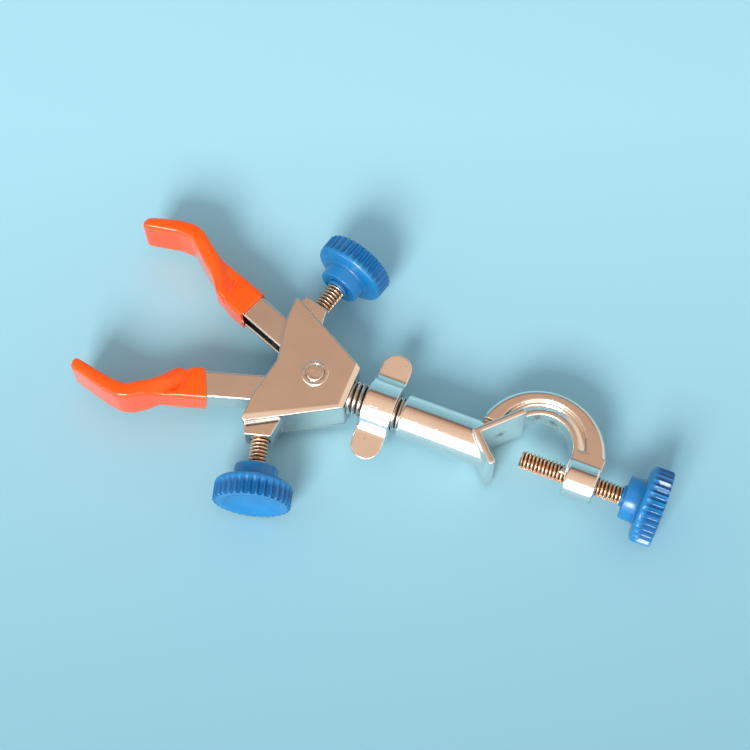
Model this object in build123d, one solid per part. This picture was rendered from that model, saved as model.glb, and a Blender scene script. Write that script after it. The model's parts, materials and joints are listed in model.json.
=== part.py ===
from build123d import *
import math
import os

# A two-finger laboratory clamp with a swivelling boss head, in millimetres.
# Origin: on the seat for the stand rod, halfway up the boss head's width.
# +X runs from the stand rod towards the jaws, +Z runs along the stand rod, and the
# fingers open in the XY plane. "left" is +Y and "right" is -Y.

# Boss head: the V plate that the stand rod rests in
SEAT_HALF = 11.0          # half of the V plate's width along the stand rod
ARM_WALL = 2.1            # V plate thickness
LONG_ARM = 16.6           # arm that carries on into the hook
SHORT_ARM = 11.4          # free arm

# Boss head: hook from the long arm round to the screw boss
HOOK_C = (-19.4, -5.2)    # centre of the hook's throat
THROAT_R = 10.7
RIB_R = 12.6
GROOVE_C = (-19.2, -6.1)  # centre of the outer flange's inner edge
GROOVE_R = 15.0
RIM_C = (-19.7, -2.8)     # centre of the outer flange's outer edge
RIM_R = 22.0
HOOK_HALF = 4.9
WEB_HALF = 3.4
RIM_BEVEL = 1.0
BOSS_X = (-41.2, -30.3)   # screw boss, end to end
BOSS_R = 6.5
BOSS_ROUND = 1.0

# Barrel and swivel rod, on the X axis
BARREL_R = 7.5
BARREL_END = 27.3
BARREL_BORE_END = 7.0
ROD_R = 6.0
ROD_X = (8.0, 45.4)
SPIGOT_R = 4.0
SPIGOT_END = 53.0
RUNNING = 0.05            # radial clearance of everything that turns or slides in a hole
PIN_R = 1.5
PIN_X = 49.3

# Wing nut on the rod
NUT_X = (29.6, 40.0)
NUT_R = 9.1
EAR_SPAN = 38.4
EAR_THICK = 3.0
NUT_FILLET = 2.4
NUT_TURN = -5.0          # the nut as it was left on the rod

# Housing
PIVOT_X = 58.6
HOUSE_HALF = 8.75         # outer face of the cover plates
PLATE = 1.4
PLATE_FRONT = (75.3, 24.5)
PLATE_FLAT_Y = 14.5       # the front edge runs straight from the tip to here
NOTCH_X = 72.3
PLATE_REAR = (45.4, 7.7)
REAR_BEVEL = (1.8, 1.0)   # how far in, and how far down
SIDE_BEVEL = (1.1, 2.2)   # how far in, at the rear and at the tip
BEVEL_TILT = 24.0
TIP_ROUND = 1.0
INSET = 0.4               # how far the frame's walls sit inside the plates' edge
WALL = 2.0
BLOCK_END = 53.2
PAD_Z = 4.9               # inner face of the plates' locating pads
PAD_GAP = 0.2
LUG_HALF = 5.0

# Screws: 1/4 inch, 20 to the inch
SCREW_R = 3.175
SCREW_HEAD_R = 4.75
SCREW_HEAD = 3.0
SCREW_TIP = 1.4           # length of the turned-down tip
CLAMP_TIP_X = -14.7
CLAMP_HUB_X = -50.9
LUG_FACE = (68.0, 25.8)   # where the left screw leaves its lug
SCREW_ANGLE = 74.5        # from the -X axis
LEFT_HUB = 9.65           # lug face to knob, along the screw
RIGHT_HUB = 10.6
LEFT_STUD = 21.6          # stud length outside the knob
RIGHT_STUD = 21.1

# Knob
KNOB_R = 13.0
KNOB_LEN = 13.0
HUB_R = 7.5
HUB_LEN = 5.2
SHOULDER_R = 11.0
RIBS = 32
RIB_CUT_R = 0.75
DISH_R = 10.2
DISH_DEPTH = 1.8
COLLAR_R = 3.65
COLLAR = 1.1              # how far the collar round the stud stands out of the hub
HEAD_START = 6.0          # where the stud's round head starts inside the knob

# Pivot
RIVET_R = 2.5
WASHER_R = 4.6
WASHER = 0.7
BUTTON_R = 2.9
BUTTON_TOP = 9.65
EAR_R = 4.5

# Fingers, drawn from the pivot along +X with the outside towards +Y
LEFT_ANGLE = 16.8
RIGHT_ANGLE = 21.3
LEFT_REACH = (-2.2, -1.7)    # how much further out the elbow and the tip stand than drawn
RIGHT_REACH = (1.8, 0.2)
CHANNEL_HALF = 4.6
FLANGE = 1.35
EAR_GAP = 0.1
CHANNEL_V = (0.3, 9.4)
WEB_WALL = 1.5
CHANNEL_END = 46.0
WEB_END = 56.5
BLADE_HALF = 7.2
SLEEVE_START = 35.5
COAT = 0.8

# Torsion spring round the rivet
WIRE_R = 0.45
COIL_R = 3.6
COIL_PITCH = 1.0
COIL_WRAPS = 3
LEG_RISE = 14.0           # a leg's angle from its finger
LEG_REACH = 14.5


def prism(points, half, rounds=()):
    """A flat outline, with some corners rounded, thickened evenly about the mid-plane."""
    face = make_face(Polyline(*points, close=True))
    for index, radius in rounds:
        x, y = points[index]
        corner = face.vertices().sort_by_distance((x, y, 0))[0]
        face = fillet(corner, radius)
    return extrude(face, half, both=True)


def slab(points, low, high):
    """A flat outline between two heights."""
    face = make_face(Polyline(*points, close=True))
    return Pos(0, 0, low) * extrude(face, high - low)


def disc(centre, radius, half):
    return Pos(centre[0], centre[1], 0) * Cylinder(radius, 2 * half)


def upright(radius, low, high, x=0.0):
    """A cylinder along Z between two heights."""
    return Pos(x, 0, (low + high) / 2) * Cylinder(radius, high - low)


def along_x(radius, start, end, y=0.0):
    """A cylinder along X between two places."""
    return Pos((start + end) / 2, y, 0) * Rot(0, 90, 0) * Cylinder(radius, end - start)


def turn_about_x(points):
    """A solid turned round the X axis from an outline of (x, radius) points."""
    face = make_face(Polyline(*[(x, r) for x, r in points], close=True))
    return revolve(face, Axis.X)


def at_pivot(shape, angle):
    return Pos(PIVOT_X, 0, 0) * Rot(0, 0, angle) * shape


def mirrored(points):
    """The outline's upper half, then the same half below the X axis."""
    return points + [(x, -y) for x, y in reversed(points) if y]


# ---------------------------------------------------------------- boss head
def v_plate():
    c = math.sqrt(0.5)
    corner = ARM_WALL / c
    ends = []
    for length, side in ((LONG_ARM, -1), (SHORT_ARM, 1)):
        inner = (-length * c, side * length * c)
        ends.append([inner, (inner[0] + ARM_WALL * c, inner[1] + side * ARM_WALL * c)])
    points = [(0, 0), ends[0][0], ends[0][1], (corner, 0), ends[1][1], ends[1][0]]
    return prism(points, SEAT_HALF)


def rod_space(half):
    """The space that the stand rod takes: inside the V and inside the hook."""
    reach = -LONG_ARM * math.sqrt(0.5)
    wedge = prism([(0, 0), (reach, reach), HOOK_C, (HOOK_C[0], -reach), (reach, -reach)], half)
    return wedge + disc(HOOK_C, THROAT_R, half)


def hook():
    rim = disc(RIM_C, RIM_R, HOOK_HALF)
    rim = chamfer(rim.edges(), RIM_BEVEL) - disc(GROOVE_C, GROOVE_R, HOOK_HALF)
    rim -= Pos(RIM_C[0], 50 - 7.5, 0) * Box(100, 100, 20)
    rib = disc(HOOK_C, RIB_R, HOOK_HALF) - disc(HOOK_C, THROAT_R, HOOK_HALF)
    rib -= Pos(HOOK_C[0] + 10.2, 50 - 8.0, 0) * Box(20, 100, 20)
    rib -= Pos(HOOK_C[0] - 5, 50 + 1.5, 0) * Box(30, 100, 20)
    web = disc(RIM_C, RIM_R - RIM_BEVEL, WEB_HALF)
    web -= Pos(RIM_C[0], 50 - 1.0, 0) * Box(100, 100, 20)
    neck_x = (BOSS_X[0], HOOK_C[0] - THROAT_R - 0.6)
    neck = prism([(neck_x[0], -8), (neck_x[1], -8), (neck_x[1], 0), (neck_x[0], 0)], HOOK_HALF)
    return rim + rib + web + neck


def boss_head():
    barrel = chamfer(along_x(BARREL_R, -6, BARREL_END).edges().sort_by(Axis.X)[-1], 0.5)
    body = hook() + barrel - rod_space(SEAT_HALF)
    boss = along_x(BOSS_R, *BOSS_X, 0.3)
    body = body + v_plate() + fillet(boss.edges().filter_by(GeomType.CIRCLE), BOSS_ROUND)
    free_side = prism([(-60, 9), (-60, 40), (-9.5, 40), (-9.5, 9)], SEAT_HALF)
    body -= free_side
    body -= along_x(ROD_R + RUNNING, BARREL_BORE_END, BARREL_END)
    return body - along_x(SCREW_R + RUNNING, BOSS_X[0] - 1, BOSS_X[1] + 4)


# ---------------------------------------------------------------- swivel
def swivel_rod():
    rod = along_x(ROD_R, *ROD_X)
    rod = chamfer(rod.edges().sort_by(Axis.X)[0], 0.9)
    rod += along_x(SPIGOT_R, ROD_X[1], SPIGOT_END)
    return rod - upright(PIN_R, -20, 20, PIN_X)


def rod_pin():
    return upright(PIN_R, PLATE - HOUSE_HALF, HOUSE_HALF - PLATE, PIN_X)


def wing_nut():
    middle = (NUT_X[0] + NUT_X[1]) / 2
    width = NUT_X[1] - NUT_X[0]
    ears = SlotOverall(EAR_SPAN, width)
    ears = Pos(middle, 0, 0) * Rot(0, 0, 90) * extrude(ears, EAR_THICK / 2, both=True)
    nut = ears + along_x(NUT_R, *NUT_X)
    corners = [e for e in nut.edges().filter_by(Axis.X) if abs(e.center().Z) < EAR_THICK]
    nut = fillet(corners, NUT_FILLET) - along_x(ROD_R + RUNNING, NUT_X[0] - 1, NUT_X[1] + 1)
    return Rot(NUT_TURN, 0, 0) * nut


# ---------------------------------------------------------------- housing
def plate_outline(inset=0.0):
    """Half of the housing's outline, from the notch round to the rear corner."""
    tip = (PLATE_FRONT[0] - inset, PLATE_FRONT[1] - 1.2 * inset)
    shoulder = (PLATE_FRONT[0] - 0.1 - inset, PLATE_FLAT_Y)
    rear = (PLATE_REAR[0], PLATE_REAR[1] - 1.2 * inset)
    return [(NOTCH_X - inset, 0), shoulder, tip, rear]


def side_slope():
    rise = PLATE_FRONT[1] - PLATE_REAR[1]
    return rise / (PLATE_FRONT[0] - PLATE_REAR[0])


def cavity(gap, front):
    """Half outline of the space between the walls, open at the front."""
    slope = side_slope()
    drop = INSET * 1.2 + (WALL + gap) * math.hypot(1, slope)

    def wall_y(x):
        return PLATE_REAR[1] + slope * (x - PLATE_REAR[0]) - drop

    return [(front, 0), (front, wall_y(front)), (BLOCK_END + gap, wall_y(BLOCK_END + gap))]


def lug():
    top = [(74.9, 22.6), (73.1, 27.5), (64.3, 25.0), (63.3, 16.0), (72.5, 20.8)]
    face = make_face(Polyline(*top, close=True))
    upper = extrude(face, LUG_HALF, taper=3)
    return upper + mirror(upper, Plane.XY)


def screw_frame(hub=0.0):
    """Origin on the left lug's outer face or further out, +X pointing in towards the finger."""
    a = math.radians(SCREW_ANGLE)
    out = (-math.cos(a), math.sin(a))
    place = (LUG_FACE[0] + hub * out[0], LUG_FACE[1] + hub * out[1])
    return Pos(place[0], place[1], 0) * Rot(0, 0, -SCREW_ANGLE)


def housing_frame():
    half = HOUSE_HALF - PLATE
    body = prism(mirrored(plate_outline(INSET)), half)
    bore = screw_frame() * along_x(SCREW_R + RUNNING, -5, 30)
    left = lug()
    body += left + mirror(left, Plane.XZ)
    body -= prism(mirrored(cavity(0, 80)), half)
    body -= bore
    body -= mirror(bore, Plane.XZ)
    body -= along_x(SPIGOT_R, ROD_X[1] - 1, BLOCK_END + 1)
    return body - upright(PIN_R, -half, half, PIN_X)


def bevel_plane():
    """The sloping surface ground along a plate's left edge, wider towards the tip."""
    rise = PLATE_FRONT[1] - SIDE_BEVEL[1] - PLATE_REAR[1] + SIDE_BEVEL[0]
    run = math.atan(rise / (PLATE_FRONT[0] - PLATE_REAR[0]))
    tilt = math.radians(BEVEL_TILT)
    out = (-math.sin(run) * math.sin(tilt), math.cos(run) * math.sin(tilt), math.cos(tilt))
    start = (PLATE_REAR[0], PLATE_REAR[1] - SIDE_BEVEL[0], HOUSE_HALF)
    return Plane(start, z_dir=out)


def cover_plate(inset=0.0):
    """The upper plate. The lower one is turned over and lies flush with the frame's walls."""
    low = HOUSE_HALF - PLATE
    outline = plate_outline(inset)
    plate = slab(mirrored(outline), low, HOUSE_HALF)
    uprights = plate.edges().filter_by(Axis.Z)
    tips = [e for e in uprights if abs(abs(e.center().Y) - outline[2][1]) < 0.1]
    plate = fillet(tips, TIP_ROUND)
    edge_z = HOUSE_HALF - REAR_BEVEL[1]
    rear = [(0, edge_z), (REAR_BEVEL[0], HOUSE_HALF), (-5, HOUSE_HALF), (-5, edge_z)]
    wedge = make_face(Plane.XZ * Polyline(*rear, close=True))
    plate -= Pos(PLATE_REAR[0], 0, 0) * extrude(wedge, 20, both=True)
    plate = split(plate, bevel_plane(), keep=Keep.BOTTOM)
    pad = slab(mirrored(cavity(PAD_GAP, NOTCH_X - 1.5)), PAD_Z, low)
    plate += pad
    return plate - upright(RIVET_R, PAD_Z, HOUSE_HALF, PIVOT_X)


def turned_over(shape):
    return Rot(180, 0, 0) * shape


def pivot_rivet():
    button = upright(BUTTON_R, HOUSE_HALF + WASHER / 2, BUTTON_TOP, PIVOT_X)
    button = chamfer(button.edges().sort_by(Axis.Z)[-1], 0.2)
    shank = upright(RIVET_R, -BUTTON_TOP + 0.3, BUTTON_TOP - 0.3, PIVOT_X)
    return shank + button + turned_over(button)


def rivet_washer():
    ring = upright(WASHER_R, HOUSE_HALF, HOUSE_HALF + WASHER, PIVOT_X)
    ring = fillet(ring.edges().sort_by(Axis.Z)[-1], 0.35)
    ring -= upright(RIVET_R, HOUSE_HALF, HOUSE_HALF + WASHER, PIVOT_X)
    return ring - upright(BUTTON_R + 0.4, HOUSE_HALF + WASHER / 2, HOUSE_HALF + 2, PIVOT_X)


# ---------------------------------------------------------------- fingers
BLADE_PLAN = [
    (44.0, 1.6), (58.0, 6.7), (64.8, 9.2), (70.4, 7.4), (82.4, 1.0),
    (83.0, 2.8), (71.8, 9.9), (67.0, 12.0), (64.0, 12.0), (57.0, 10.0), (44.0, 6.8),
]
BLADE_SIDE = [(44.0, 4.6), (50.0, 4.9), (61.0, BLADE_HALF), (83.6, BLADE_HALF)]
TIP_CORNER = 2.6


def side_cut(points, reach, corner):
    """A side view, the same above and below the mid-plane, cut right through the finger."""
    outline = points + [(x, -z) for x, z in reversed(points)]
    face = make_face(Plane.XZ * Polyline(*outline, close=True))
    ends = [v for v in face.vertices() if abs(v.X - points[-1][0]) < 0.01]
    face = fillet(ends, corner)
    return extrude(face, reach, both=True)


def grown(points, by):
    """The outline moved outwards by an even amount."""
    return offset(make_face(Polyline(*points, close=True)), by, kind=Kind.ARC)


def reached(points, reach):
    """The blade's outline with its elbow and its tip moved out."""
    elbow, tip = reach
    return [(x + (0 if x < 51 else elbow if x < 75 else tip), y) for x, y in points]


def blade(reach):
    plan = make_face(Polyline(*reached(BLADE_PLAN, reach), close=True))
    return extrude(plan, 12, both=True) & side_cut(reached(BLADE_SIDE, reach), 20, TIP_CORNER)


def finger(reach):
    """One casting: two ears, a channel open to the inside, and a flat blade."""
    inner, outer = CHANNEL_V
    top = CHANNEL_HALF
    under = top - FLANGE
    root = [(-2.7, 3.55), (1.5, outer), (12, outer), (12, inner), (4.4, inner), (0, -1)]
    flange = [(1.5, outer), (CHANNEL_END, outer), (CHANNEL_END, inner), (4.4, inner), (-2.7, 3.55)]
    upper = slab(flange, under, top) - upright(EAR_R + 0.35, under, top)
    ear_top = under - EAR_GAP
    ear_low = ear_top - FLANGE
    ear = upright(EAR_R, ear_low, ear_top) + slab(root, ear_low, ear_top)
    step = [(6.0, outer), (12, outer), (12, inner), (6.0, inner)]
    lower = slab(flange, -top, -under) + upright(EAR_R, -top, -under) + slab(root, -top, -under)
    web = slab([(1.5, outer), (WEB_END, outer), (WEB_END - 5, outer - WEB_WALL),
                (2.6, outer - WEB_WALL)], -top, top)
    web -= upright(EAR_R + 0.35, -top, top)
    body = upper + slab(step, ear_low, under) + ear + lower + web + blade(reach)
    return body - upright(RIVET_R + RUNNING, -top, top)


def sleeve(reach):
    """Dipped skin over the blade and the end of the channel, the finger's own shape taken out."""
    inner, outer = CHANNEL_V
    top = CHANNEL_HALF
    box = [(SLEEVE_START, inner - COAT), (CHANNEL_END + 1, inner - 0.2), (53, 4.0),
           (WEB_END + 1.5, outer), (WEB_END, outer + COAT), (SLEEVE_START, outer + COAT)]
    skin = prism(box, top + COAT)
    plan = extrude(grown(reached(BLADE_PLAN, reach), COAT), 12, both=True)
    side = [(x, z + COAT) for x, z in reached(BLADE_SIDE, reach)]
    side[-1] = (side[-1][0] + COAT, side[-1][1])
    skin += plan & side_cut(side, 20, TIP_CORNER + COAT)
    hollow = slab([(SLEEVE_START - 1, inner), (CHANNEL_END - 2.5, inner),
                   (CHANNEL_END - 2.5, outer - 1), (SLEEVE_START - 1, outer - 1)], -3.3, 3.3)
    return skin - finger(reach) - hollow


# ---------------------------------------------------------------- screws, knobs, spring
def stud(length):
    """Stud on the X axis: the knob's hub ends at 0 and the tip is at +length."""
    inside = HEAD_START + SCREW_HEAD
    body = along_x(SCREW_R, -inside, length - SCREW_TIP)
    tip = [(length - SCREW_TIP, 0), (length - SCREW_TIP, 2.5), (length - 0.5, 2.5),
           (length, 2.0), (length, 0)]
    return body + turn_about_x(tip) + along_x(SCREW_HEAD_R, -inside, -HEAD_START)


def knob():
    """Knob on the X axis: the hub ends at 0 and the dished face looks towards -X."""
    back = HUB_LEN + 0.2
    outline = [(COLLAR, 0), (COLLAR, COLLAR_R - 0.2), (COLLAR - 0.2, COLLAR_R), (-0.8, COLLAR_R),
               (-0.8, 4.2), (0, 6.4), (0, HUB_R - 0.3), (-0.3, HUB_R), (-HUB_LEN, HUB_R),
               (-back, SHOULDER_R), (-back - 1.2, KNOB_R - 0.2), (-back - 1.4, KNOB_R),
               (-KNOB_LEN + 0.3, KNOB_R), (-KNOB_LEN, KNOB_R - 0.5), (-KNOB_LEN, DISH_R),
               (-KNOB_LEN + 0.7, DISH_R - 1.2), (-KNOB_LEN + DISH_DEPTH, DISH_R - 5),
               (-KNOB_LEN + DISH_DEPTH, 0)]
    body = turn_about_x(outline)
    cutter = along_x(RIB_CUT_R, -KNOB_LEN - 1, -back - 0.9)
    for i in range(RIBS):
        body -= Rot(360 / RIBS * i, 0, 0) * Pos(0, 0, KNOB_R + 0.1) * cutter
    inside = HEAD_START + SCREW_HEAD
    body -= along_x(SCREW_R + RUNNING, -inside, COLLAR + 1)
    return body - along_x(SCREW_HEAD_R + RUNNING, -inside - RUNNING, -HEAD_START + RUNNING)


def torsion_spring():
    """A coil round the rivet, with a straight leg lying against each finger's web."""
    start = LEFT_ANGLE + LEG_RISE + 90
    end = 360 * COIL_WRAPS - (RIGHT_ANGLE + LEG_RISE + 90)
    height = COIL_PITCH * (end - start) / 360
    coil = Pos(0, 0, -height / 2) * Rot(0, 0, start) * Helix(COIL_PITCH, height, COIL_R)
    first = Line(coil @ 0 - (coil % 0) * LEG_REACH, coil @ 0)
    last = Line(coil @ 1, coil @ 1 + (coil % 1) * LEG_REACH)
    path = Wire([first.edge(), coil.edge(), last.edge()])
    return sweep(Plane(path @ 0, z_dir=path % 0) * Circle(WIRE_R), path, is_frenet=True)


# ---------------------------------------------------------------- assembly
def clamp_line(shape):
    return Pos(CLAMP_HUB_X, 0, 0) * shape


def right_screw_frame(shape, hub):
    return mirror(screw_frame(hub) * shape, Plane.XZ)


def nodes():
    washer = rivet_washer()
    return {
        "boss_head": boss_head(),
        "clamp_screw": clamp_line(stud(CLAMP_TIP_X - CLAMP_HUB_X)),
        "clamp_knob": clamp_line(knob()),
        "swivel_rod": swivel_rod(),
        "rod_pin": rod_pin(),
        "wing_nut": wing_nut(),
        "housing_frame": housing_frame(),
        "upper_plate": cover_plate(),
        "lower_plate": turned_over(cover_plate(INSET)),
        "pivot_rivet": pivot_rivet(),
        "upper_washer": washer,
        "lower_washer": turned_over(washer),
        "torsion_spring": at_pivot(torsion_spring(), 0),
        "left_finger": at_pivot(finger(LEFT_REACH), LEFT_ANGLE),
        "right_finger": at_pivot(turned_over(finger(RIGHT_REACH)), -RIGHT_ANGLE),
        "left_sleeve": at_pivot(sleeve(LEFT_REACH), LEFT_ANGLE),
        "right_sleeve": at_pivot(turned_over(sleeve(RIGHT_REACH)), -RIGHT_ANGLE),
        "left_screw": screw_frame(LEFT_HUB) * stud(LEFT_STUD),
        "right_screw": right_screw_frame(stud(RIGHT_STUD), RIGHT_HUB),
        "left_knob": screw_frame(LEFT_HUB) * knob(),
        "right_knob": right_screw_frame(knob(), RIGHT_HUB),
    }


os.makedirs("parts", exist_ok=True)
for name, shape in nodes().items():
    export_step(shape, f"parts/{name}.step")
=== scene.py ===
import json
import math

import bmesh
import bpy
import numpy as np
from mathutils import Matrix, Vector


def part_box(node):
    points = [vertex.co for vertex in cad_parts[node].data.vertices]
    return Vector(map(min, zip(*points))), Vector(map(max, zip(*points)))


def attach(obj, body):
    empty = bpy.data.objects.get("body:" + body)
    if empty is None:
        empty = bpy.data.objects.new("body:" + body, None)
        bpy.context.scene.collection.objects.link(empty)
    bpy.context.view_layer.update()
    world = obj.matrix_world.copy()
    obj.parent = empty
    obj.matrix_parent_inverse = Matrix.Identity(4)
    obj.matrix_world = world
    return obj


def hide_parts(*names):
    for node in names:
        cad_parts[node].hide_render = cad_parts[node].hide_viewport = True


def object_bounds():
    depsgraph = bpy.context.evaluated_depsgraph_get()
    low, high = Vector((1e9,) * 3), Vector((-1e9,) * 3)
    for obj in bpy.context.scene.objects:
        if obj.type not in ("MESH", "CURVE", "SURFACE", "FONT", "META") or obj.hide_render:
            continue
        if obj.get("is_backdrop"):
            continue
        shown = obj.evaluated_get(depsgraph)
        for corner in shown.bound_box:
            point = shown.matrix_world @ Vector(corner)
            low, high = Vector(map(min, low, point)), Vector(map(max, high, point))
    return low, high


# A two-finger laboratory clamp lying on its three knobs. All lengths are in metres, in the
# CAD frame: +X from the stand rod to the jaws, +Z up, "left" is +Y.

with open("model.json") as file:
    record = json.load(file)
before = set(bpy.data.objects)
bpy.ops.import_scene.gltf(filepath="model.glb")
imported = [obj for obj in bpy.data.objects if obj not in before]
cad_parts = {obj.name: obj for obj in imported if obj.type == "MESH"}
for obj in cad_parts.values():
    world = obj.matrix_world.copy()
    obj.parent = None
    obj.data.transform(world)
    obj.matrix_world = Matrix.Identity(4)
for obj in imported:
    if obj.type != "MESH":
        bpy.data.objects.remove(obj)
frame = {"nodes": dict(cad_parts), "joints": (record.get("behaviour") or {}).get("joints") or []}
cad_low, cad_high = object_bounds()
MM = 0.001

# ---------------------------------------------------------------- sizes repeated from the CAD
FINGER_ANGLE = {"left": math.radians(16.8), "right": math.radians(21.3)}
SCREW_RADIUS = 3.175 * MM
SCREW_PITCH = 1.27 * MM
ROD_RADIUS = 6.0 * MM
ROD_PITCH = 1.75 * MM
THREAD_DEPTH = 0.66       # of the pitch
KNOB_LENGTH = 13.0 * MM
RIBS = 32
CHANNEL_START = 35.5      # where the CAD sleeve starts along the finger, in mm
CHANNEL_TOP = 4.6         # half of the finger channel's height, in mm
CHANNEL_SIDES = (0.3, 9.4)

# ---------------------------------------------------------------- groove round the hook, in mm
HOOK_CENTRE = (-19.4, -5.2)
RIB_RADIUS = 12.6         # outside of the rib round the throat
WEB_HALF = 3.4            # height of the groove's floor over the mid-plane, in the CAD
HOOK_HALF = 4.9           # height of the rib and the rim over the mid-plane
GROOVE_WIDTH = 2.6        # the raised part of the floor ends this far from the rib
GROOVE_RISE = 1.1         # how much the floor is raised beside the rib
GROOVE_END = -6.0         # the groove lies beyond this Y

# ---------------------------------------------------------------- sleeves, in mm in a finger's frame
SKIN = 0.9                # thickness of the vinyl over the channel
FULLER = 0.22             # swelling of the vinyl, which makes good what smoothing takes off
SPARE = 3.0               # made this much too long and trimmed
LOOSE = 0.2               # gap between the metal and the vinyl at the open end
OPEN_END = {"left": (37.4, 0.185, 0.11), "right": (34.4, 0.0, 0.0)}   # place, slant and lean
VALLEY = [((43.4, 0.3), 0.6), ((46.5, 6.6), 1.6), ((53.5, 10.6), 0.6)]   # places and depths
VALLEY_WIDTH = 1.5
RIDGE = [((45.6, 2.6), 0.5), ((51.0, 5.6), 0.8), ((60.0, 9.4), 0.2)]     # places and heights
RIDGE_WIDTH = 1.9
PINCH = (43.4, 1.3, 0.9)  # place, width and depth of the notch in the edge beside the valley
RELIEF = (41.5, 44, 54, 58)   # the finger is cut away under the vinyl between these places
RELIEF_SHARE = 0.4        # of its height

# ---------------------------------------------------------------- camera and light directions
CAMERA_TILT = math.radians(22.75)
CAMERA_TURN = math.radians(201.92)
CAMERA_ROLL = math.radians(-0.38)
CAMERA_AIM = Vector((41.2, -10.2, 0)) * MM
CAMERA_DISTANCE = 558.4 * MM
CAMERA_FIELD = math.radians(25.6)
AWAY = Vector((-math.sin(CAMERA_TURN), math.cos(CAMERA_TURN), 0))
ACROSS = Vector((math.cos(CAMERA_TURN), math.sin(CAMERA_TURN), 0))
KEY_TURN = math.radians(22)         # the key light stands this far left of the near side
KEY_HEIGHT = math.radians(38)
KEY_DISTANCE = 2.4
KEY_SIZE = 0.9
KEY_POWER = 60.0


# ---------------------------------------------------------------- node helpers
def srgb(red, green, blue):
    """0-255 display values as a linear colour."""
    parts = [c / 255 for c in (red, green, blue)]
    return (*[c / 12.92 if c <= 0.04045 else ((c + 0.055) / 1.055) ** 2.4 for c in parts], 1)


def new_material(name):
    material = bpy.data.materials.new(name)
    material.use_nodes = True
    tree = material.node_tree
    return material, tree, tree.nodes["Principled BSDF"]


def add(tree, kind, inputs=None, **settings):
    """A new node with its settings and inputs; an input may be a value or another socket."""
    node = tree.nodes.new(kind)
    for key, value in settings.items():
        setattr(node, key, value)
    for key, value in (inputs or {}).items():
        if isinstance(value, bpy.types.NodeSocket):
            tree.links.new(value, node.inputs[key])
        else:
            node.inputs[key].default_value = value
    return node


def maths(tree, operation, first, second=0.0):
    node = add(tree, "ShaderNodeMath", {0: first, 1: second}, operation=operation)
    return node.outputs[0]


def along(tree, vector, direction):
    """How far a vector goes in a fixed direction."""
    node = add(tree, "ShaderNodeVectorMath", {0: vector, 1: direction}, operation="DOT_PRODUCT")
    return node.outputs["Value"]


def ramp(tree, fac, stops):
    node = add(tree, "ShaderNodeValToRGB", {0: fac})
    elements = node.color_ramp.elements
    while len(elements) < len(stops):
        elements.new(0.5)
    for element, (place, colour) in zip(elements, stops):
        element.position = place
        element.color = colour if isinstance(colour, tuple) else (colour, colour, colour, 1)
    return node.outputs[0]


def noise(tree, coords, scale, detail=3.0, rough=0.5):
    inputs = {"Vector": coords, "Scale": scale, "Detail": detail, "Roughness": rough}
    return add(tree, "ShaderNodeTexNoise", inputs).outputs[0]


def cells(tree, coords, scale):
    inputs = {"Vector": coords, "Scale": scale}
    return add(tree, "ShaderNodeTexVoronoi", inputs).outputs["Distance"]


def bump(tree, height, strength, distance, after=None):
    inputs = {"Height": height, "Strength": strength, "Distance": distance}
    if after:
        inputs["Normal"] = after
    return add(tree, "ShaderNodeBump", inputs).outputs[0]


def mixed(tree, fac, first, second):
    node = add(tree, "ShaderNodeMix", data_type="RGBA")
    for socket, value in ((node.inputs[0], fac), (node.inputs[6], first), (node.inputs[7], second)):
        if isinstance(value, bpy.types.NodeSocket):
            tree.links.new(value, socket)
        else:
            socket.default_value = value
    return node.outputs[2]


# ---------------------------------------------------------------- materials
def scars(tree, at, places):
    """Ragged flaws left by the mould, near given places: (place, radius) in metres."""
    ragged = noise(tree, at, 1100, 5, 0.75)
    total = 0.0
    for place, radius in places:
        gap = add(tree, "ShaderNodeVectorMath", {0: at, 1: place}, operation="DISTANCE").outputs["Value"]
        near = add(tree, "ShaderNodeMapRange", {0: gap, 1: 0.0, 2: radius, 3: 0.14, 4: -0.12})
        flaw = maths(tree, "ADD", ragged, near.outputs[0])
        total = maths(tree, "MAXIMUM", total, ramp(tree, flaw, [(0.54, 0.0), (0.60, 1.0)]))
    return total


def painted_recess_shade(tree, colour, recess_shade_colour, reach, low, high):
    """The colour, darkened with painted shade where the surface lies deep in a recess."""
    open_sky = add(tree, "ShaderNodeAmbientOcclusion", {"Distance": reach}, samples=8).outputs["AO"]
    return mixed(tree, ramp(tree, open_sky, [(low, 1.0), (high, 0.0)]), colour, recess_shade_colour)


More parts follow.
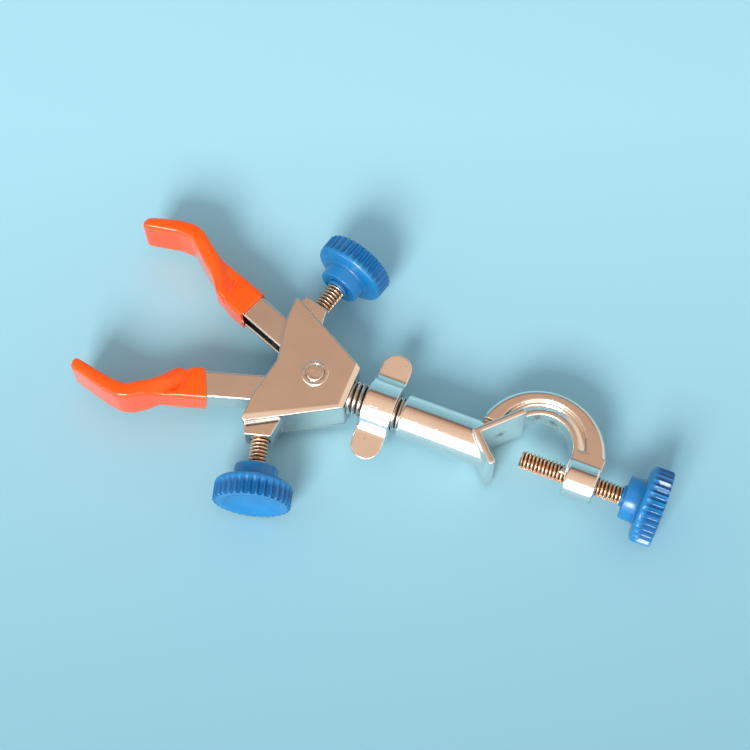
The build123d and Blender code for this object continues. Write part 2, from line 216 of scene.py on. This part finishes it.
def plating(name, colour, roughness, grain, pits, wave=0.1, wave_scale=90, flaws=(), seam=None,
            unshaded_above=0.62):
    """Nickel plate over a casting: soft waves, fine grain, a few pits and painted shade in recesses.

    seam is the height of a joint that gets a ragged line of painted shadow, and the last argument is how
    open to the sky a place must be to get no painted shade.
    """
    material, tree, shader = new_material(name)
    at = add(tree, "ShaderNodeTexCoord").outputs["Object"]
    waves = noise(tree, at, wave_scale, 2)
    fine = noise(tree, at, 2600, 4, 0.65)
    spots = cells(tree, at, 420)
    keep = noise(tree, at, 150, 2)
    hole = ramp(tree, spots, [(0.0, 1.0), (0.13, 0.0)])
    chosen = ramp(tree, keep, [(0.60 - pits, 0.0), (0.66 - pits, 1.0)])
    pit = maths(tree, "MULTIPLY", hole, chosen)
    if flaws:
        pit = maths(tree, "MAXIMUM", pit, scars(tree, at, flaws))
    shade = ramp(tree, waves, [(0.3, tuple(c * 0.94 for c in colour[:3]) + (1,)), (0.7, colour)])
    dark = tuple(c * 0.3 for c in colour[:3]) + (1,)
    # Painted shadow: a ragged near-black line along the joint at the seam height.
    if seam:
        height = add(tree, "ShaderNodeSeparateXYZ", {0: at}).outputs["Z"]
        off = maths(tree, "ABSOLUTE", maths(tree, "SUBTRACT", height, seam))
        width = add(tree, "ShaderNodeMapRange", {0: noise(tree, at, 260, 3), 3: 0.2, 4: 1.6}).outputs[0]
        share = maths(tree, "DIVIDE", maths(tree, "MULTIPLY", off, 1000), width)
        shade = mixed(tree, ramp(tree, share, [(0.35, 1.0), (0.6, 0.0)]), shade, (0.05, 0.045, 0.04, 1))
    marked = mixed(tree, pit, shade, dark)
    # Painted shade: recesses found by ambient occlusion are darkened towards this colour.
    recess_shade_colour = tuple(c * 0.22 for c in colour[:3]) + (1,)
    tree.links.new(painted_recess_shade(tree, marked, recess_shade_colour, 12 * MM, 0.10, unshaded_above), shader.inputs["Base Color"])
    rough = add(tree, "ShaderNodeMapRange", {0: fine, 3: roughness * 0.75, 4: roughness * 1.35})
    blurred = maths(tree, "MAXIMUM", rough.outputs[0], maths(tree, "MULTIPLY", pit, 0.55))
    tree.links.new(blurred, shader.inputs["Roughness"])
    shader.inputs["Metallic"].default_value = 1
    soft = bump(tree, waves, wave, 0.4 * MM)
    grainy = bump(tree, fine, grain, 0.03 * MM, soft)
    dented = bump(tree, pit, 0.5, -0.1 * MM, grainy)
    tree.links.new(dented, shader.inputs["Normal"])
    return material


def thread_metal(name, crest, flank, root_shade_colour):
    """Plated rolled threads with painted shade darkening their roots, which the mesh marks as "root"."""
    material, tree, shader = new_material(name)
    at = add(tree, "ShaderNodeTexCoord").outputs["Object"]
    patches = noise(tree, at, 700, 3)
    fine = noise(tree, at, 5000, 3)
    plate = ramp(tree, patches, [(0.3, flank), (0.55, crest), (0.75, flank)])
    root = add(tree, "ShaderNodeAttribute", attribute_name="root").outputs["Fac"]
    # Painted shade: the colour darkens towards the thread roots.
    root_shade_mask = ramp(tree, maths(tree, "ADD", root, maths(tree, "MULTIPLY", fine, 0.2)),
                [(0.62, 0.0), (1.05, 1.0)])
    tree.links.new(mixed(tree, root_shade_mask, plate, root_shade_colour), shader.inputs["Base Color"])
    rough = add(tree, "ShaderNodeMapRange", {0: fine, 3: 0.14, 4: 0.3})
    rougher = maths(tree, "ADD", rough.outputs[0], maths(tree, "MULTIPLY", root_shade_mask, 0.3))
    tree.links.new(rougher, shader.inputs["Roughness"])
    shader.inputs["Metallic"].default_value = 1
    tree.links.new(bump(tree, fine, 0.12, 0.03 * MM), shader.inputs["Normal"])
    return material


def dipped_vinyl():
    """Glossy orange PVC from dipping: slow ripples and faint mottling."""
    material, tree, shader = new_material("dipped_vinyl")
    at = add(tree, "ShaderNodeTexCoord").outputs["Object"]
    clouds = noise(tree, at, 60, 2)
    colour = ramp(tree, clouds, [(0.3, srgb(252, 78, 4)), (0.7, srgb(255, 94, 8))])
    tree.links.new(colour, shader.inputs["Base Color"])
    specks = noise(tree, at, 1900, 2)
    rough = add(tree, "ShaderNodeMapRange", {0: specks, 3: 0.10, 4: 0.19})
    tree.links.new(rough.outputs[0], shader.inputs["Roughness"])
    ripples = bump(tree, noise(tree, at, 160, 2), 0.12, 0.35 * MM)
    tree.links.new(bump(tree, specks, 0.04, 0.03 * MM, ripples), shader.inputs["Normal"])
    shader.inputs["Specular IOR Level"].default_value = 0.38
    shader.inputs["Coat Weight"].default_value = 0.3
    shader.inputs["Coat Roughness"].default_value = 0.06
    shader.inputs["Subsurface Weight"].default_value = 0.12
    shader.inputs["Subsurface Radius"].default_value = (1.0, 0.25, 0.1)
    shader.inputs["Subsurface Scale"].default_value = 0.8 * MM
    return material


def blue_plastic():
    """Moulded blue plastic, polished on the ribs and slightly uneven, with painted shade in the grooves
    between the ribs.
    """
    material, tree, shader = new_material("blue_plastic")
    at = add(tree, "ShaderNodeTexCoord").outputs["Object"]
    clouds = noise(tree, at, 120, 3)
    colour = ramp(tree, clouds, [(0.3, srgb(22, 118, 180)), (0.7, srgb(34, 132, 194))])
    # Painted shade: the colour darkens deep in the grooves between the ribs.
    painted_groove_shade = painted_recess_shade(tree, colour, srgb(10, 58, 112), 2.5 * MM, 0.45, 0.95)
    tree.links.new(painted_groove_shade, shader.inputs["Base Color"])
    specks = noise(tree, at, 2200, 3)
    rough = add(tree, "ShaderNodeMapRange", {0: specks, 3: 0.17, 4: 0.3})
    tree.links.new(rough.outputs[0], shader.inputs["Roughness"])
    uneven = bump(tree, clouds, 0.12, 0.3 * MM)
    tree.links.new(bump(tree, specks, 0.05, 0.03 * MM, uneven), shader.inputs["Normal"])
    shader.inputs["Subsurface Weight"].default_value = 0.06
    shader.inputs["Subsurface Radius"].default_value = (0.2, 0.5, 1.0)
    shader.inputs["Subsurface Scale"].default_value = 0.8 * MM
    return material


def card():
    """The pale blue card that the clamp lies on, with painted light: darker on the near side, paler on
    the far side.
    """
    material, tree, shader = new_material("card")
    at = add(tree, "ShaderNodeTexCoord").outputs["Object"]
    ahead = along(tree, at, AWAY)
    place = maths(tree, "MULTIPLY_ADD", ahead, 3.0)
    place.node.inputs[2].default_value = 0.5
    # Painted light: the colour brightens from the near side to the far side.
    colour = ramp(tree, place, [(0.05, srgb(122, 170, 186)), (0.9, srgb(163, 213, 228))])
    tree.links.new(colour, shader.inputs["Base Color"])
    shader.inputs["Roughness"].default_value = 0.75
    return material


# ---------------------------------------------------------------- mesh helpers
def new_piece(name, vertices, faces):
    mesh = bpy.data.meshes.new(name)
    mesh.from_pydata(vertices, [], faces)
    work = bmesh.new()
    work.from_mesh(mesh)
    bmesh.ops.recalc_face_normals(work, faces=work.faces)
    work.to_mesh(mesh)
    work.free()
    return link(name, mesh)


def link(name, mesh):
    piece = bpy.data.objects.new(name, mesh)
    bpy.context.scene.collection.objects.link(piece)
    return piece


def shade(piece, sharp_above=None):
    for polygon in piece.data.polygons:
        polygon.use_smooth = True
    if sharp_above:
        piece.data.set_sharp_from_angle(angle=math.radians(sharp_above))


def welded(node):
    """A copy of a CAD node's mesh with its split corners joined."""
    work = bmesh.new()
    work.from_mesh(frame["nodes"][node].data)
    bmesh.ops.remove_doubles(work, verts=work.verts, dist=1e-6)
    mesh = bpy.data.meshes.new(node)
    work.to_mesh(mesh)
    work.free()
    return mesh


def apply_modifiers(piece):
    graph = bpy.context.evaluated_depsgraph_get()
    done = bpy.data.meshes.new_from_object(piece.evaluated_get(graph))
    piece.modifiers.clear()
    piece.data = done


def remesh(piece, voxel, rounds, factor=0.5):
    """One even skin over everything in the piece, with its edges softened."""
    skin = piece.modifiers.new("skin", "REMESH")
    skin.mode = "VOXEL"
    skin.voxel_size = voxel
    soften = piece.modifiers.new("soften", "SMOOTH")
    soften.factor = factor
    soften.iterations = rounds
    apply_modifiers(piece)


def smoothed(piece, rounds):
    soften = piece.modifiers.new("soften", "SMOOTH")
    soften.factor = 0.5
    soften.iterations = rounds
    apply_modifiers(piece)


def points_of(piece):
    flat = np.empty(3 * len(piece.data.vertices))
    piece.data.vertices.foreach_get("co", flat)
    return flat.reshape(-1, 3)


def set_points(piece, points):
    piece.data.vertices.foreach_set("co", points.ravel())
    piece.data.update()


def finish_piece(piece, material, body, slot, *nodes):
    piece.data.materials.clear()
    piece.data.materials.append(material)
    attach(piece, body)
    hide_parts(*nodes)


def line_up(origin, axis):
    """The matrix that lays +X along axis, starting at origin."""
    return Matrix.Translation(origin) @ Vector(axis).to_track_quat("X", "Z").to_matrix().to_4x4()


def joint(name):
    return next(j for j in frame["joints"] if j["name"] == name)


def smooth_step(low, high, value):
    t = np.clip((value - low) / (high - low), 0, 1)
    return t * t * (3 - 2 * t)


def tube_grid(rings, around):
    """Faces between rings of the same number of points, closed at both ends."""
    faces = []
    for i in range(rings - 1):
        for k in range(around):
            n = (k + 1) % around
            faces.append((i * around + k, i * around + n, (i + 1) * around + n, (i + 1) * around + k))
    faces.append(tuple(range(around)))
    faces.append(tuple(range((rings - 1) * around, rings * around)))
    return faces


# ---------------------------------------------------------------- screws and rod
def threaded_bar(name, length, radius, pitch, around=56, per_turn=12):
    """A right-hand thread along +X from 0 to length, with a chamfered end."""
    depth = THREAD_DEPTH * pitch
    step = pitch / per_turn
    rings = int(length / step) + per_turn + 2
    turn = np.arange(around) / around
    vertices = []
    roots = []
    for i in range(rings):
        x = np.clip((i - per_turn) * step + turn * pitch, 0, length)
        from_root = np.abs((x / pitch - turn) % 1 - 0.5) * 2
        low = 1 - np.clip((from_root - 0.08) / 0.78, 0, 1)
        r = np.minimum(radius - depth * low, radius - depth * 1.1 + (length - x) * 1.2)
        angle = 2 * math.pi * turn
        vertices += list(zip(x, r * np.cos(angle), r * np.sin(angle)))
        roots.append(low)
    piece = new_piece(name, vertices, tube_grid(rings, around))
    mark = piece.data.attributes.new("root", "FLOAT", "POINT")
    mark.data.foreach_set("value", np.concatenate(roots))
    return piece


def screw(node, body, start, axis, length, material):
    piece = threaded_bar(node + "_thread", length, SCREW_RADIUS, SCREW_PITCH)
    piece.data.transform(line_up(start, axis))
    shade(piece, 60)
    finish_piece(piece, material, body, "steel", node)


def swivel_rod(material):
    low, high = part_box("swivel_rod")
    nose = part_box("housing_frame")[0].x
    piece = threaded_bar("swivel_rod_thread", nose + 4 * MM - low.x, ROD_RADIUS, ROD_PITCH, around=72)
    piece.data.transform(line_up((nose + 4 * MM, 0, 0), (-1, 0, 0)))
    shade(piece, 60)
    finish_piece(piece, material, "housing", "steel", "swivel_rod")


# ---------------------------------------------------------------- knobs
def arc(centre, radius, start, end, steps):
    angles = np.radians(np.linspace(start, end, steps))
    return [(centre[0] + radius * math.cos(a), centre[1] + radius * math.sin(a)) for a in angles]


def knob_profile():
    """(distance along the axis, radius) in mm, from the dished face round to the collar."""
    face = -KNOB_LENGTH / MM
    dish = [(face + 2.0 * (1 - (r / 10.1) ** 3.2), r) for r in np.linspace(0.4, 10.0, 20)]
    lip = [(face, 10.4), (face - 0.02, 11.2), (face + 0.04, 11.9)]
    rim = arc((face + 0.75, 12.25), 0.75, 175, 90, 8)
    side = [(x, 13.0) for x in np.linspace(face + 1.1, -7.4, 18)]
    shoulder = arc((-7.2, 11.2), 1.8, 88, 30, 10) + [(-5.5, 11.6), (-5.3, 10.6), (-5.25, 9.6)]
    fillet = [(-5.2, 8.6), (-5.1, 8.0), (-4.8, 7.65), (-4.3, 7.5)]
    hub = [(-2.6, 7.4)] + arc((-0.45, 6.85), 0.45, 85, 0, 5)
    recess = [(-0.05, 6.4), (-0.35, 5.9), (-0.75, 5.0), (-0.8, 4.2), (-0.5, 3.75)]
    collar = [(0.7, 3.65), (1.0, 3.45), (1.05, 3.1)]
    return dish + lip + rim + side + shoulder + fillet + hub + recess + collar


def knob_mesh(name):
    """Lathe of the profile, with round-bottomed grooves cut into the rim."""
    around = RIBS * 12
    groove_depth = 1.3
    profile = knob_profile()
    angle = 2 * math.pi * np.arange(around) / around
    groove = (0.5 - 0.5 * np.cos(RIBS * angle)) ** 0.55
    vertices = []
    for x, r in profile:
        outer = smooth_step(11.9, 13.0, r)
        stopped = 1 - smooth_step(-9.2, -5.9, x)
        radius = (r - groove_depth * groove * outer * stopped) * MM
        vertices += list(zip(np.full(around, x * MM), radius * np.cos(angle), radius * np.sin(angle)))
    return new_piece(name, vertices, tube_grid(len(profile), around))


def knob(node, body, joint_name, material):
    turn = joint(joint_name)
    hub_end = Vector(turn["pos_m"]) + Vector(turn["axis"]) * (KNOB_LENGTH / 2)
    piece = knob_mesh(node + "_ribbed")
    piece.data.transform(line_up(hub_end, turn["axis"]))
    shade(piece, 50)
    finish_piece(piece, material, body, "knob", node)
    return hub_end


# ---------------------------------------------------------------- castings
def casting(node, body, material, voxel=0.3 * MM, rounds=4, slot="casting"):
    """The CAD shape with its edges rounded as a mould and tumbling leave them."""
    piece = link(node + "_cast", welded(node))
    remesh(piece, voxel, rounds)
    shade(piece)
    finish_piece(piece, material, body, slot, node)
    return piece


def sloped_groove(piece):
    """The floor of the groove round the hook falls away from the inner rib, as a mould's draft."""
    points = points_of(piece)
    gap = np.linalg.norm(points[:, :2] / MM - HOOK_CENTRE, axis=1) - RIB_RADIUS
    high = np.abs(points[:, 2]) / MM
    rise = GROOVE_RISE * np.clip(1 - gap / GROOVE_WIDTH, 0, 1) * smooth_step(-0.3, 0.2, gap)
    below_top = np.clip((HOOK_HALF - high) / (HOOK_HALF - WEB_HALF), 0, 1)
    below_top *= high > WEB_HALF - 0.4
    far_side = points[:, 1] < GROOVE_END * MM
    points[:, 2] += np.sign(points[:, 2]) * rise * below_top * far_side * MM
    set_points(piece, points)
    smoothed(piece, 3)


# ---------------------------------------------------------------- fingers and sleeves
def finger_place(side):
    """From a finger's own frame, in mm along it and outwards, to the row frame."""
    pivot = Matrix.Translation(Vector(joint(side + "_finger_hinge")["pos_m"]))
    if side == "left":
        turn = Matrix.Rotation(FINGER_ANGLE[side], 4, "Z")
    else:
        turn = Matrix.Rotation(-FINGER_ANGLE[side], 4, "Z") @ Matrix.Rotation(math.pi, 4, "X")
    return pivot @ turn @ Matrix.Scale(MM, 4)


def finger(side, material):
    """The finger's casting, cut away a little where the vinyl sags over it."""
    piece = casting(side + "_finger", side + "_finger", material)
    place = finger_place(side)
    piece.data.transform(place.inverted())
    points = points_of(piece)
    starts, full, ends, none = RELIEF
    relief = smooth_step(starts, full, points[:, 0]) * (1 - smooth_step(ends, none, points[:, 0]))
    points[:, 2] *= 1 - RELIEF_SHARE * relief
    set_points(piece, points)
    piece.data.transform(place)


def box_faces(work, low, high):
    """Adds a closed box to a bmesh."""
    size = [b - a for a, b in zip(low, high)]
    middle = [(a + b) / 2 for a, b in zip(low, high)]
    matrix = Matrix.Translation(middle) @ Matrix.Diagonal((*size, 1))
    bmesh.ops.create_cube(work, size=1, matrix=matrix)


def filled_finger(side):
    """The sleeve, the finger inside it and the channel's hollow as one lump, in the finger's frame."""
    back = finger_place(side).inverted()
    work = bmesh.new()
    finger = welded(side + "_finger")
    finger.transform(back)
    work.from_mesh(finger)
    everything = work.verts[:] + work.edges[:] + work.faces[:]
    cut = bmesh.ops.bisect_plane(work, geom=everything, plane_co=(CHANNEL_START + 0.8, 0, 0),
                                 plane_no=(1, 0, 0), clear_inner=True)
    edges = [e for e in cut["geom_cut"] if isinstance(e, bmesh.types.BMEdge)]
    bmesh.ops.holes_fill(work, edges=edges)
    sleeve = welded(side + "_sleeve")
    sleeve.transform(back)
    work.from_mesh(sleeve)
    inner, outer = CHANNEL_SIDES
    low = (CHANNEL_START - SPARE, inner - SKIN, -CHANNEL_TOP - SKIN)
    box_faces(work, low, (44, outer + SKIN, CHANNEL_TOP + SKIN))
    mesh = bpy.data.meshes.new(side + "_sleeve_dipped")
    work.to_mesh(mesh)
    work.free()
    return link(mesh.name, mesh)


def away_from_line(points, line):
    """How far each point is, seen from above, from a line through given places, and how deep to go."""
    nearest = np.full(len(points), 1e9)
    depth = np.zeros(len(points))
    for (start, first), (end, last) in zip(line, line[1:]):
        start, end = np.array(start), np.array(end)
        along = end - start
        t = np.clip((points[:, :2] - start) @ along / (along @ along), 0, 1)
        gap = np.linalg.norm(points[:, :2] - start - t[:, None] * along, axis=1)
        closer = gap < nearest
        nearest = np.where(closer, gap, nearest)
        depth = np.where(closer, first + (last - first) * t, depth)
    return nearest, depth


def sag(points):
    """The vinyl sags into the corner between the channel's end and the blade, above and below."""
    gap, depth = away_from_line(points, VALLEY)
    sunk = depth * np.exp(-(gap / VALLEY_WIDTH) ** 2)
    gap, height = away_from_line(points, RIDGE)
    sunk -= height * np.exp(-(gap / RIDGE_WIDTH) ** 2)
    points[:, 2] -= np.sign(points[:, 2]) * sunk * smooth_step(2.5, 4.5, np.abs(points[:, 2]))
    place, width, deep = PINCH
    pinch = deep * np.exp(-((points[:, 0] - place) / width) ** 2) * smooth_step(3.0, -1.0, points[:, 1])
    points[:, 1] += pinch * smooth_step(1.5, 4.5, np.abs(points[:, 2]))


def box_piece(low, high):
    work = bmesh.new()
    box_faces(work, low, high)
    mesh = bpy.data.meshes.new("box")
    work.to_mesh(mesh)
    work.free()
    return link("box", mesh)


def trimmed(piece, side):
    """Cut along the sleeve's slanting open end, and hollowed where it stands off the metal."""
    along, slant, lean = OPEN_END[side]
    work = bmesh.new()
    work.from_mesh(piece.data)
    everything = work.verts[:] + work.edges[:] + work.faces[:]
    cut = bmesh.ops.bisect_plane(work, geom=everything, plane_co=(along, 0, CHANNEL_TOP),
                                 plane_no=(1, slant, lean), clear_inner=True)
    edges = [e for e in cut["geom_cut"] if isinstance(e, bmesh.types.BMEdge)]
    bmesh.ops.holes_fill(work, edges=edges)
    work.to_mesh(piece.data)
    work.free()
    inner, outer = CHANNEL_SIDES
    cutter = box_piece((CHANNEL_START - 2 * SPARE, inner - LOOSE, -CHANNEL_TOP - LOOSE),
                       (43, outer + LOOSE, CHANNEL_TOP + LOOSE))
    hollow = piece.modifiers.new("hollow", "BOOLEAN")
    hollow.operation = "DIFFERENCE"
    hollow.object = cutter
    hollow.solver = "EXACT"
    apply_modifiers(piece)
    bpy.data.objects.remove(cutter)


def sleeve(side, material):
    piece = filled_finger(side)
    remesh(piece, 0.36, 40)
    fuller = piece.modifiers.new("fuller", "DISPLACE")
    fuller.strength = FULLER
    fuller.mid_level = 0
    apply_modifiers(piece)
    points = points_of(piece)
    sag(points)
    set_points(piece, points)
    smoothed(piece, 8)
    trimmed(piece, side)
    piece.data.transform(finger_place(side))
    shade(piece, 50)
    finish_piece(piece, material, side + "_finger", "sleeve", side + "_sleeve")


# ---------------------------------------------------------------- studio
def studio_floor(material):
    level = cad_low.z
    reach = 2.0
    corners = [(x, y, level) for x, y in
               ((-reach, -reach), (reach, -reach), (reach, reach), (-reach, reach))]
    floor = new_piece("floor", corners, [(0, 1, 2, 3)])
    if floor.data.polygons[0].normal.z < 0:
        floor.data.flip_normals()
    floor.data.materials.append(material)
    floor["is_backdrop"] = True


def studio_world():
    """Room that the metal mirrors: a white wall and ceiling on the near side, a warm one beyond."""
    world = bpy.data.worlds.new("room")
    bpy.context.scene.world = world
    world.use_nodes = True
    tree = world.node_tree
    tree.nodes.clear()
    way = add(tree, "ShaderNodeTexCoord").outputs["Generated"]
    ahead = along(tree, way, AWAY)
    up = add(tree, "ShaderNodeSeparateXYZ", {0: way}).outputs["Z"]
    angle = maths(tree, "ARCTAN2", ahead, up)
    place = maths(tree, "ADD", maths(tree, "DIVIDE", angle, math.pi), 0.5)
    white = (3.0, 2.97, 2.9, 1)
    mirror = ramp(tree, place, [
        (0.00, white), (0.24, white), (0.255, srgb(252, 220, 194)), (0.45, srgb(246, 210, 182)),
        (0.57, srgb(230, 194, 167)), (0.60, srgb(208, 170, 143)), (0.645, srgb(204, 166, 139)),
        (0.665, srgb(160, 121, 99)), (0.715, srgb(104, 74, 62)), (0.735, srgb(130, 182, 198)),
        (1.00, srgb(165, 220, 235))])
    beside = along(tree, way, ACROSS)
    flank = ramp(tree, beside, [(0.45, 0.0), (0.60, 1.0)])
    room = mixed(tree, flank, mirror, srgb(248, 226, 200))
    glossy = add(tree, "ShaderNodeLightPath").outputs["Is Glossy Ray"]
    soft = (0.60, 0.645, 0.675, 1)
    colour = mixed(tree, glossy, soft, room)
    background = add(tree, "ShaderNodeBackground", {"Color": colour, "Strength": 1.0})
    output = add(tree, "ShaderNodeOutputWorld")
    tree.links.new(background.outputs[0], output.inputs["Surface"])


def key_light():
    """A soft box, low on the near side and to the left."""
    near = -AWAY * math.cos(KEY_TURN) - ACROSS * math.sin(KEY_TURN)
    way = near * math.cos(KEY_HEIGHT) + Vector((0, 0, math.sin(KEY_HEIGHT)))
    lamp = bpy.data.lights.new("soft_box", "AREA")
    lamp.shape = "SQUARE"
    lamp.size = KEY_SIZE
    lamp.energy = KEY_POWER
    lamp.color = (1.0, 0.98, 0.95)
    holder = bpy.data.objects.new("soft_box", lamp)
    holder.location = CAMERA_AIM + way * KEY_DISTANCE
    holder.rotation_euler = way.to_track_quat("Z", "Y").to_euler()
    bpy.context.scene.collection.objects.link(holder)


def camera():
    data = bpy.data.cameras.new("camera")
    data.sensor_width = 36
    data.angle = CAMERA_FIELD
    data.clip_start = 0.01
    holder = bpy.data.objects.new("camera", data)
    turn = Matrix.Rotation(CAMERA_TURN, 4, "Z") @ Matrix.Rotation(CAMERA_TILT, 4, "X")
    turn = turn @ Matrix.Rotation(CAMERA_ROLL, 4, "Z")
    behind = turn @ Vector((0, 0, 1))
    holder.matrix_world = Matrix.Translation(CAMERA_AIM + behind * CAMERA_DISTANCE) @ turn
    bpy.context.scene.collection.objects.link(holder)
    bpy.context.scene.camera = holder


# ---------------------------------------------------------------- making
camera()
key_light()
studio_world()
studio_floor(card())
bpy.context.scene.view_settings.view_transform = "Standard"

nickel = srgb(240, 236, 232)
HOOK_FLAWS = [((-0.0150, -0.0150, 0.002), 0.0045), ((-0.0207, -0.0157, 0.0), 0.004),
              ((-0.0055, -0.0055, 0.0), 0.004)]
NUT_FLAWS = [((0.0365, 0.0050, 0.0075), 0.003), ((0.0320, 0.0065, 0.0070), 0.0035)]
smooth_plate = plating("smooth_plate", nickel, 0.12, 0.15, 0.03)
seam_shadow_plate = plating("seam_shadow_plate", nickel, 0.12, 0.15, 0.03, seam=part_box("housing_frame")[1].z)
grainy_plate = plating("grainy_plate", nickel, 0.2, 0.9, 0.07)
rough_plate = plating("rough_plate", nickel, 0.14, 0.25, 0.1, flaws=HOOK_FLAWS, unshaded_above=0.45)
nut_plate = plating("nut_plate", srgb(248, 244, 240), 0.12, 0.2, 0.12, flaws=NUT_FLAWS)
peened = plating("peened", nickel, 0.18, 0.4, 0.06, 0.35, 500)
copper = thread_metal("copper_thread", srgb(242, 214, 190), srgb(222, 184, 156), srgb(92, 62, 46))
silver = thread_metal("silver_thread", srgb(242, 238, 232), srgb(216, 206, 196), srgb(58, 54, 50))
vinyl = dipped_vinyl()
plastic = blue_plastic()

hub = knob("clamp_knob", "clamp_knob", "clamp_knob_turn", plastic)
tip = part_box("clamp_screw")[1].x
screw("clamp_screw", "clamp_stud", (hub.x - 4 * MM, 0, 0), (1, 0, 0), tip - hub.x + 4 * MM, copper)
for side in ("left", "right"):
    hub = knob(side + "_knob", side + "_knob", side + "_knob_turn", plastic)
    axis = Vector(joint(side + "_knob_turn")["axis"])
    low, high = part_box(side + "_screw")
    edge = SCREW_RADIUS * 0.8 * abs(axis.x)
    far = low.y + edge if axis.y < 0 else high.y - edge
    start = hub - axis * 4 * MM
    screw(side + "_screw", side + "_stud", start, axis, (far - start.y) / axis.y, copper)
swivel_rod(silver)

sloped_groove(casting("boss_head", "boss_head", rough_plate))
casting("housing_frame", "housing", seam_shadow_plate, 0.25 * MM)
casting("upper_plate", "housing", seam_shadow_plate, 0.2 * MM, 3)
casting("wing_nut", "wing_nut", nut_plate, 0.25 * MM)
for name in ("pivot_rivet", "upper_washer", "lower_washer"):
    casting(name, "housing", peened, 0.1 * MM, 3, "steel")
for side in ("left", "right"):
    finger(side, grainy_plate)
    sleeve(side, vinyl)

for name, material in (("lower_plate", smooth_plate), ("rod_pin", silver), ("torsion_spring", silver)):
    node = frame["nodes"][name]
    node.data.materials.clear()
    node.data.materials.append(material)

low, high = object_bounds()
